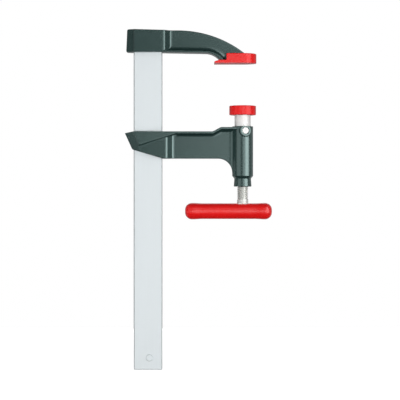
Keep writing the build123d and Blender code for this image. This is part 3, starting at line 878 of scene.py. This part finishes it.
def stage_sheet(name, corners):
    """A flat sheet of the stage with its own empty material, and that material's node tree."""
    mesh = bpy.data.meshes.new(name)
    mesh.from_pydata(corners, [], [(0, 1, 2, 3)])
    sheet = bpy.data.objects.new(name, mesh)
    bpy.context.scene.collection.objects.link(sheet)
    paper = bpy.data.materials.new(f"{name}_paper")
    paper.use_nodes = True
    paper.node_tree.nodes.clear()
    mesh.materials.append(paper)
    return sheet, paper.node_tree


def around(first, second):
    """The four corners of a rectangle, in order, from its two ranges."""
    return (
        (first[0], second[0]),
        (first[1], second[0]),
        (first[1], second[1]),
        (first[0], second[1]),
    )


def lay_floor(settings):
    """A wide pale floor that keeps the clamp's shadow."""
    width = (-FLOOR_HALF_WIDTH, FLOOR_HALF_WIDTH)
    _, tree = stage_sheet("floor", [(x, y, settings.floor_z) for x, y in around(width, FLOOR_DEPTH)])
    matt = tree.nodes.new("ShaderNodeBsdfDiffuse")
    matt.inputs["Color"].default_value = (*settings.floor_colour, 1.0)
    glow = tree.nodes.new("ShaderNodeEmission")
    lift = seen_strength(tree, settings.floor_lift, settings.floor_lift * settings.backdrop)
    both = tree.nodes.new("ShaderNodeAddShader")
    out = tree.nodes.new("ShaderNodeOutputMaterial")
    tree.links.new(lift, glow.inputs["Strength"])
    tree.links.new(matt.outputs["BSDF"], both.inputs[0])
    tree.links.new(glow.outputs["Emission"], both.inputs[1])
    tree.links.new(both.outputs["Shader"], out.inputs["Surface"])


def hang_card(name, corners, strength):
    """A card that shows only in the clamp's gloss."""
    sheet, tree = stage_sheet(name, corners)
    glow = tree.nodes.new("ShaderNodeEmission")
    glow.inputs["Strength"].default_value = strength
    out = tree.nodes.new("ShaderNodeOutputMaterial")
    tree.links.new(glow.outputs["Emission"], out.inputs["Surface"])
    sheet.visible_camera = False
    sheet.visible_diffuse = False
    sheet.visible_shadow = False


def hang_cards(settings):
    """Grey cards that draw lines down bright metal, and a dark one that dims the undersides' gloss."""
    side = around(SIDE_CARD_DEPTH, SIDE_CARD_HEIGHT)
    hang_card("left_card", [(LEFT_CARD_X, y, z) for y, z in side], settings.left_card)
    hang_card("right_card", [(RIGHT_CARD_X, y, z) for y, z in side], settings.right_card)
    under = around((-UNDER_CARD_HALF_WIDTH, UNDER_CARD_HALF_WIDTH), UNDER_CARD_DEPTH)
    low = settings.floor_z + UNDER_CARD_RISE
    hang_card("under_card", [(x, y, low) for x, y in under], settings.under_card)


def light_room(settings):
    """Even light from all round, a white backdrop behind the clamp and a dim room in front of it."""
    world = bpy.data.worlds.new("studio")
    bpy.context.scene.world = world
    world.use_nodes = True
    tree = world.node_tree
    tree.nodes.clear()
    path = tree.nodes.new("ShaderNodeLightPath").outputs
    mirrored = tree.nodes.new("ShaderNodeBackground")
    even = tree.nodes.new("ShaderNodeBackground")
    white = tree.nodes.new("ShaderNodeBackground")
    for light in (mirrored, even, white):
        light.inputs["Color"].default_value = WHITE
    depth = own_axes(tree, "Generated")["Y"]
    behind = spread_value(tree, depth, settings.room, settings.backdrop, source=BACKDROP_FADE)
    tree.links.new(behind, mirrored.inputs["Strength"])
    even.inputs["Strength"].default_value = settings.ambient
    bounced = reckon(tree, "MAXIMUM", path["Is Glossy Ray"], path["Is Transmission Ray"])
    reflected = tree.nodes.new("ShaderNodeMixShader")
    tree.links.new(bounced, reflected.inputs["Fac"])
    tree.links.new(even.outputs["Background"], reflected.inputs[1])
    tree.links.new(mirrored.outputs["Background"], reflected.inputs[2])
    shown = tree.nodes.new("ShaderNodeMixShader")
    tree.links.new(path["Is Camera Ray"], shown.inputs["Fac"])
    tree.links.new(reflected.outputs["Shader"], shown.inputs[1])
    tree.links.new(white.outputs["Background"], shown.inputs[2])
    out = tree.nodes.new("ShaderNodeOutputWorld")
    tree.links.new(shown.outputs["Shader"], out.inputs["Surface"])


def softbox(name, azimuth, distance, width, height, lift, radiance, middle):
    """A softbox that faces the clamp, at an angle round it from the camera towards +X, and lifted."""
    lamp = bpy.data.lights.new(name, "AREA")
    lamp.shape = "RECTANGLE"
    lamp.size = width
    lamp.size_y = height
    lamp.energy = radiance * math.pi * width * height
    box = bpy.data.objects.new(name, lamp)
    bpy.context.scene.collection.objects.link(box)
    angle = math.radians(azimuth)
    box.location = middle + Vector((math.sin(angle) * distance, -math.cos(angle) * distance, lift))
    box.rotation_euler = (math.radians(90.0), 0.0, angle)
    box.visible_camera = False
    return box


def hang_lamps(settings, middle):
    """Washes for what is matt, softboxes for the gloss, and one softbox behind for both."""
    for name, azimuth, distance, width in WASHES:
        radiance = getattr(settings, name)
        wash = softbox(name, azimuth, distance, width, WASH_HEIGHT, WASH_LIFT, radiance, middle)
        wash.visible_glossy = False
    for name, setting, *place in GLOSS_BOXES:
        gloss = softbox(name, *place, getattr(settings, setting), middle)
        gloss.visible_diffuse = False
    softbox("back_softbox", *BACK_BOX, settings.back_radiance, middle)


def set_camera(eye, field):
    """A camera that looks along +Y and sees one field's width at the clamp's middle plane."""
    lens = bpy.data.cameras.new("camera")
    lens.sensor_width = SENSOR_WIDTH
    lens.lens = lens.sensor_width * -eye.y / field
    lens.clip_end = SIGHT
    camera = bpy.data.objects.new("camera", lens)
    camera.location = eye
    camera.rotation_euler = (math.radians(90.0), 0.0, 0.0)
    bpy.context.scene.collection.objects.link(camera)
    bpy.context.scene.camera = camera


class BARCLAMP_OT_stage(bpy.types.Operator):
    """Sets the floor, the studio light and the camera"""

    bl_idname = "barclamp.stage"
    bl_label = "Stage"

    def execute(self, context):
        settings = context.scene.barclamp_stage
        eye = Vector(settings.eye)
        lay_floor(settings)
        light_room(settings)
        hang_lamps(settings, Vector((eye.x, 0.0, eye.z)))
        hang_cards(settings)
        set_camera(eye, settings.field)
        context.scene.view_settings.view_transform = "Standard"
        return {"FINISHED"}


class BARCLAMP_PT_panel(bpy.types.Panel):
    """Bar clamp tools in the sidebar"""

    bl_idname = "BARCLAMP_PT_panel"
    bl_label = "Bar clamp"
    bl_space_type = "VIEW_3D"
    bl_region_type = "UI"
    bl_category = "Bar clamp"

    def draw(self, context):
        for operator, group in PANEL_ROWS:
            box = self.layout.box()
            box.operator(operator.bl_idname)
            settings = getattr(context.scene, group)
            for name in settings.__annotations__:
                box.prop(settings, name)


SETTINGS = {
    "barclamp_casting": CastingFinish,
    "barclamp_rail": RailFinish,
    "barclamp_steel": SteelFinish,
    "barclamp_plastic": PlasticFinish,
    "barclamp_stage": StageSetup,
}
PANEL_ROWS = (
    (BARCLAMP_OT_castings, "barclamp_casting"),
    (BARCLAMP_OT_rail, "barclamp_rail"),
    (BARCLAMP_OT_bright_steel, "barclamp_steel"),
    (BARCLAMP_OT_jaw_pads, "barclamp_plastic"),
    (BARCLAMP_OT_handle, "barclamp_plastic"),
    (BARCLAMP_OT_inner_pieces, "barclamp_steel"),
    (BARCLAMP_OT_stage, "barclamp_stage"),
)
CLASSES = (*SETTINGS.values(), *(row[0] for row in PANEL_ROWS), BARCLAMP_PT_panel)


def register():
    """Registers the settings, the operators and the panel."""
    for cls in CLASSES:
        bpy.utils.register_class(cls)
    for group, cls in SETTINGS.items():
        setattr(bpy.types.Scene, group, PointerProperty(type=cls))


def unregister():
    """Takes the settings, the operators and the panel away again."""
    for group in SETTINGS:
        delattr(bpy.types.Scene, group)
    for cls in reversed(CLASSES):
        bpy.utils.unregister_class(cls)


def main():
    """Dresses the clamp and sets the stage."""
    register()
    bpy.ops.barclamp.castings()
    bpy.ops.barclamp.rail()
    bpy.ops.barclamp.bright_steel()
    bpy.ops.barclamp.jaw_pads()
    bpy.ops.barclamp.handle()
    bpy.ops.barclamp.inner_pieces()
    bpy.ops.barclamp.stage()


if __name__ == "__main__":
    main()
